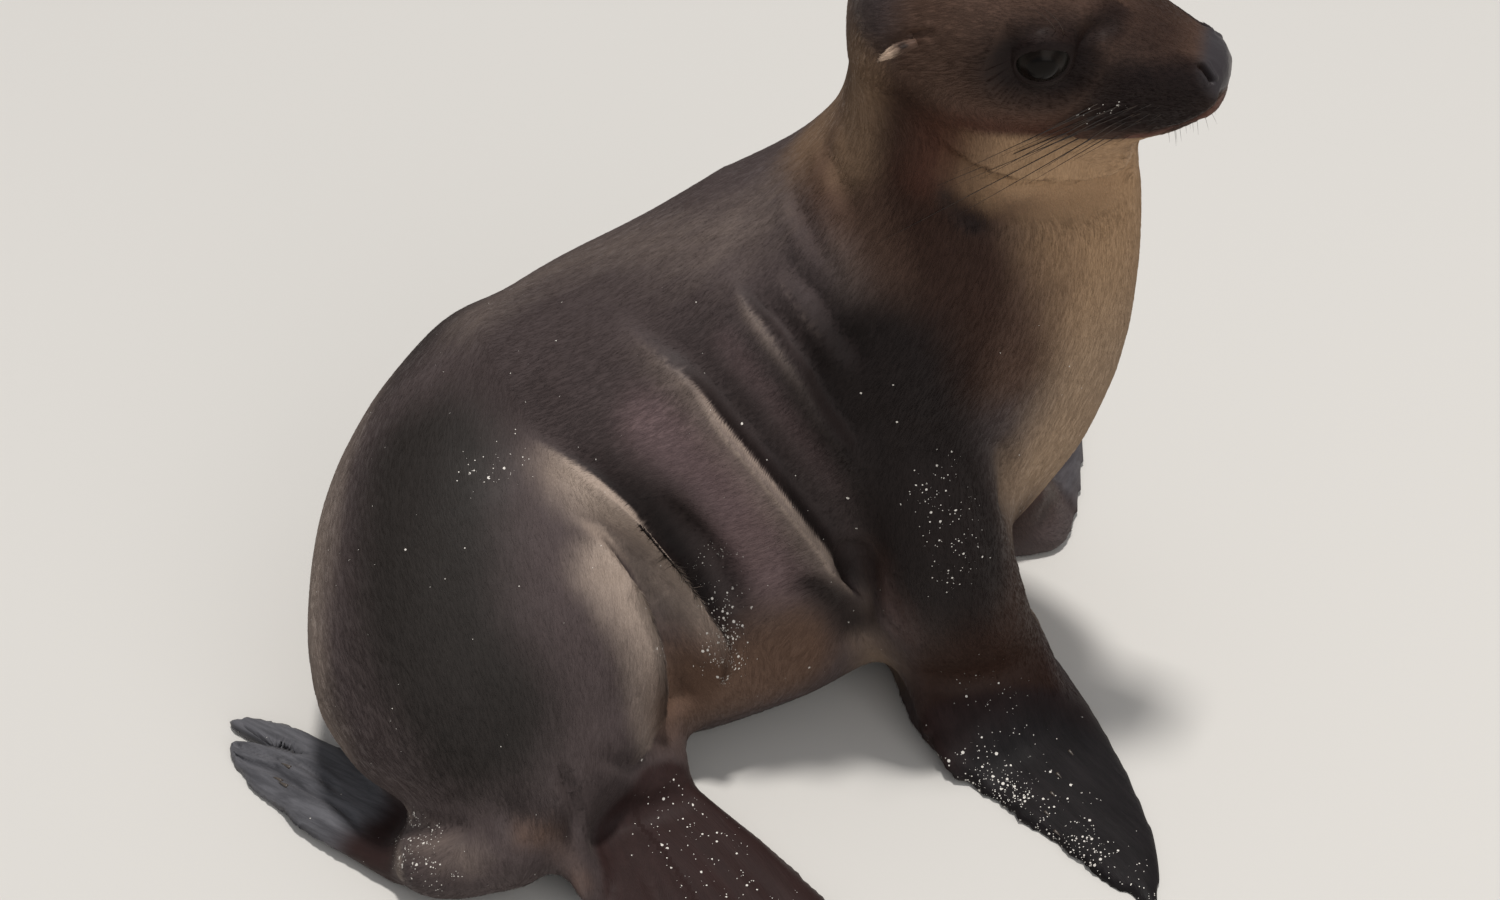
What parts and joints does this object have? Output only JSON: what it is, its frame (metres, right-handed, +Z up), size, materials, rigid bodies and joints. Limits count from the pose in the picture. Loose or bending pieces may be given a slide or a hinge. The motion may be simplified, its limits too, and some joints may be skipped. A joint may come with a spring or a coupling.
{
  "type": "sea lion",
  "caption": "Young sea lion sitting on the ground with its head up, its flippers spread and its hindquarters curled round to its right.",
  "frame": {"origin": "on the floor, under the middle of the model's length and width", "axes": "+X the way the chest and nose point, +Y the animal's left, +Z up; the tail points to -Y because the hindquarters are curled round to the right"},
  "size_m": [0.611, 0.6662, 0.5606],
  "materials": {
    "coat": "short dense fur, dark grey-brown on the back, tan on the throat and chest",
    "bare_skin": "bare black-grey hide of the flippers and nose",
    "eye": "wet, nearly black"
  },
  "bodies": {
    "root": {"head": "coat", "lower_jaw": "coat", "nose": "bare_skin", "eye_right": "eye", "eye_left": "eye", "ear_right": "coat", "ear_left": "coat", "neck": "coat", "chest": "coat", "belly": "coat", "hindquarters": "coat", "tail": "coat", "fore_leg_right": "coat", "fore_leg_left": "coat", "fore_flipper_right": "bare_skin", "fore_flipper_left": "bare_skin", "hind_leg_right": "coat", "hind_leg_left": "coat", "hind_flipper_right": "bare_skin", "hind_flipper_left": "bare_skin"}
  },
  "joints": []
}
